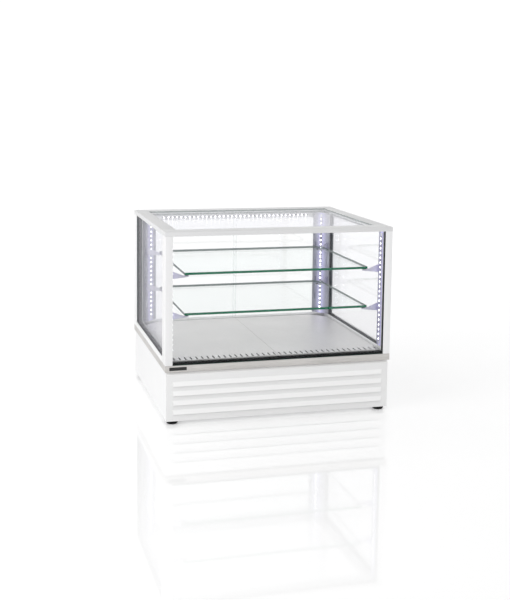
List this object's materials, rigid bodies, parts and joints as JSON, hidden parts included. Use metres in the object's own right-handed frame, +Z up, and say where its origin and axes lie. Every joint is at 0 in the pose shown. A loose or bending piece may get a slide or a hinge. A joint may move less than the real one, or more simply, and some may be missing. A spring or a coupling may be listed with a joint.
{
  "type": "hot food display case",
  "caption": "Heated counter-top display case with a louvred white base, double-glazed frame, glass shelves, slotted deck and sliding rear doors.",
  "frame": {"origin": "centre of the footprint, at the underside of the feet", "axes": "+X to the right seen from the customer's side, +Y to the operator's side at the back, +Z up"},
  "size_m": [0.785, 0.652, 0.64],
  "materials": {
    "anodised": "satin anodised",
    "black_plastic": "fine texture",
    "element_sheath": "heat tinted",
    "galvanised": "plain",
    "glass": "clear float glass",
    "light_strip": "diffuser",
    "rack_steel": "satin",
    "rubber": "matte",
    "shelf_glass": "clear float glass, green edge",
    "spacer_black": "matte",
    "stainless": "brushed",
    "white_paint": "satin powder coat",
    "white_plastic": "smooth",
    "zinc": "plated"
  },
  "bodies": {
    "cabinet": {"air_plenum_tray": "galvanised", "base_pan": "white_paint", "bottom_rails": "white_paint", "bracket_pads": "rubber", "cable_gland": "black_plastic", "door_track_bottom": "anodised", "door_track_top": "anodised", "fan_housing": "galvanised", "feet": "rubber", "foot_studs": "zinc", "front_glass_inner": "glass", "front_glass_outer": "glass", "front_glass_spacer": "spacer_black", "front_louvre_panel": "white_paint", "heating_element": "element_sheath", "led_driver": "white_plastic", "led_strips": "light_strip", "nameplate": "black_plastic", "panel_screws": "zinc", "post_front_left": "white_paint", "post_front_right": "white_paint", "post_rear_left": "white_paint", "post_rear_right": "white_paint", "rack_front_left": "rack_steel", "rack_front_right": "rack_steel", "rack_rear_left": "rack_steel", "rack_rear_right": "rack_steel", "rear_panel": "white_paint", "rocker_housings": "black_plastic", "safety_thermostat": "black_plastic", "shelf_brackets": "rack_steel", "side_glass_inner": "glass", "side_glass_outer": "glass", "side_glass_spacer": "spacer_black", "side_panel_left": "white_paint", "side_panel_right": "white_paint", "terminal_block": "white_plastic", "thermostat_controller": "black_plastic", "top_glass_inner": "glass", "top_glass_outer": "glass", "top_glass_spacer": "anodised", "top_rail_front": "white_paint", "top_rail_left": "white_paint", "top_rail_rear": "white_paint", "top_rail_right": "white_paint", "worktop_band": "stainless"},
    "door_left": {"sliding_door_left": "glass", "door_pull_left": "anodised"},
    "door_right": {"sliding_door_right": "glass", "door_pull_right": "anodised"},
    "shelf_upper": {"glass_shelf_upper": "shelf_glass"},
    "shelf_lower": {"glass_shelf_lower": "shelf_glass"},
    "deck_left": {"deck_plate_left": "stainless"},
    "deck_right": {"deck_plate_right": "stainless"},
    "rotor": {"fan_rotor": "anodised"},
    "power_rocker": {"rocker_power": "black_plastic"},
    "light_rocker": {"rocker_light": "black_plastic"},
    "button_1": {"thermostat_button_1": "white_plastic"},
    "button_2": {"thermostat_button_2": "white_plastic"},
    "button_3": {"thermostat_button_3": "white_plastic"}
  },
  "joints": [
    {"name": "door_left_slide", "type": "slide", "parent": "cabinet", "child": "door_left", "axis": [1, 0, 0], "range_m": [0, 0.355]},
    {"name": "door_right_slide", "type": "slide", "parent": "cabinet", "child": "door_right", "axis": [-1, 0, 0], "range_m": [0, 0.355]},
    {"name": "shelf_upper_lift", "type": "slide", "parent": "cabinet", "child": "shelf_upper", "axis": [0, 0, 1], "range_m": [0, 0.03]},
    {"name": "shelf_lower_lift", "type": "slide", "parent": "cabinet", "child": "shelf_lower", "axis": [0, 0, 1], "range_m": [0, 0.03]},
    {"name": "deck_left_lift", "type": "slide", "parent": "cabinet", "child": "deck_left", "axis": [0, 0, 1], "range_m": [0, 0.05]},
    {"name": "deck_right_lift", "type": "slide", "parent": "cabinet", "child": "deck_right", "axis": [0, 0, 1], "range_m": [0, 0.05]},
    {"name": "fan_spin", "type": "hinge", "parent": "cabinet", "child": "rotor", "pos_m": [0, 0.085, 0.145], "axis": [0, 0, 1], "continuous": true},
    {"name": "power_rock", "type": "hinge", "parent": "cabinet", "child": "power_rocker", "pos_m": [0.175, 0.3195, 0.095], "axis": [1, 0, 0], "range_deg": [-16, 0]},
    {"name": "light_rock", "type": "hinge", "parent": "cabinet", "child": "light_rocker", "pos_m": [0.145, 0.3195, 0.095], "axis": [1, 0, 0], "range_deg": [-16, 0]},
    {"name": "button_1_press", "type": "slide", "parent": "cabinet", "child": "button_1", "axis": [0, -1, 0], "range_m": [0, 0.001], "stiffness_N_per_m": 300},
    {"name": "button_2_press", "type": "slide", "parent": "cabinet", "child": "button_2", "axis": [0, -1, 0], "range_m": [0, 0.001], "stiffness_N_per_m": 300},
    {"name": "button_3_press", "type": "slide", "parent": "cabinet", "child": "button_3", "axis": [0, -1, 0], "range_m": [0, 0.001], "stiffness_N_per_m": 300}
  ]
}
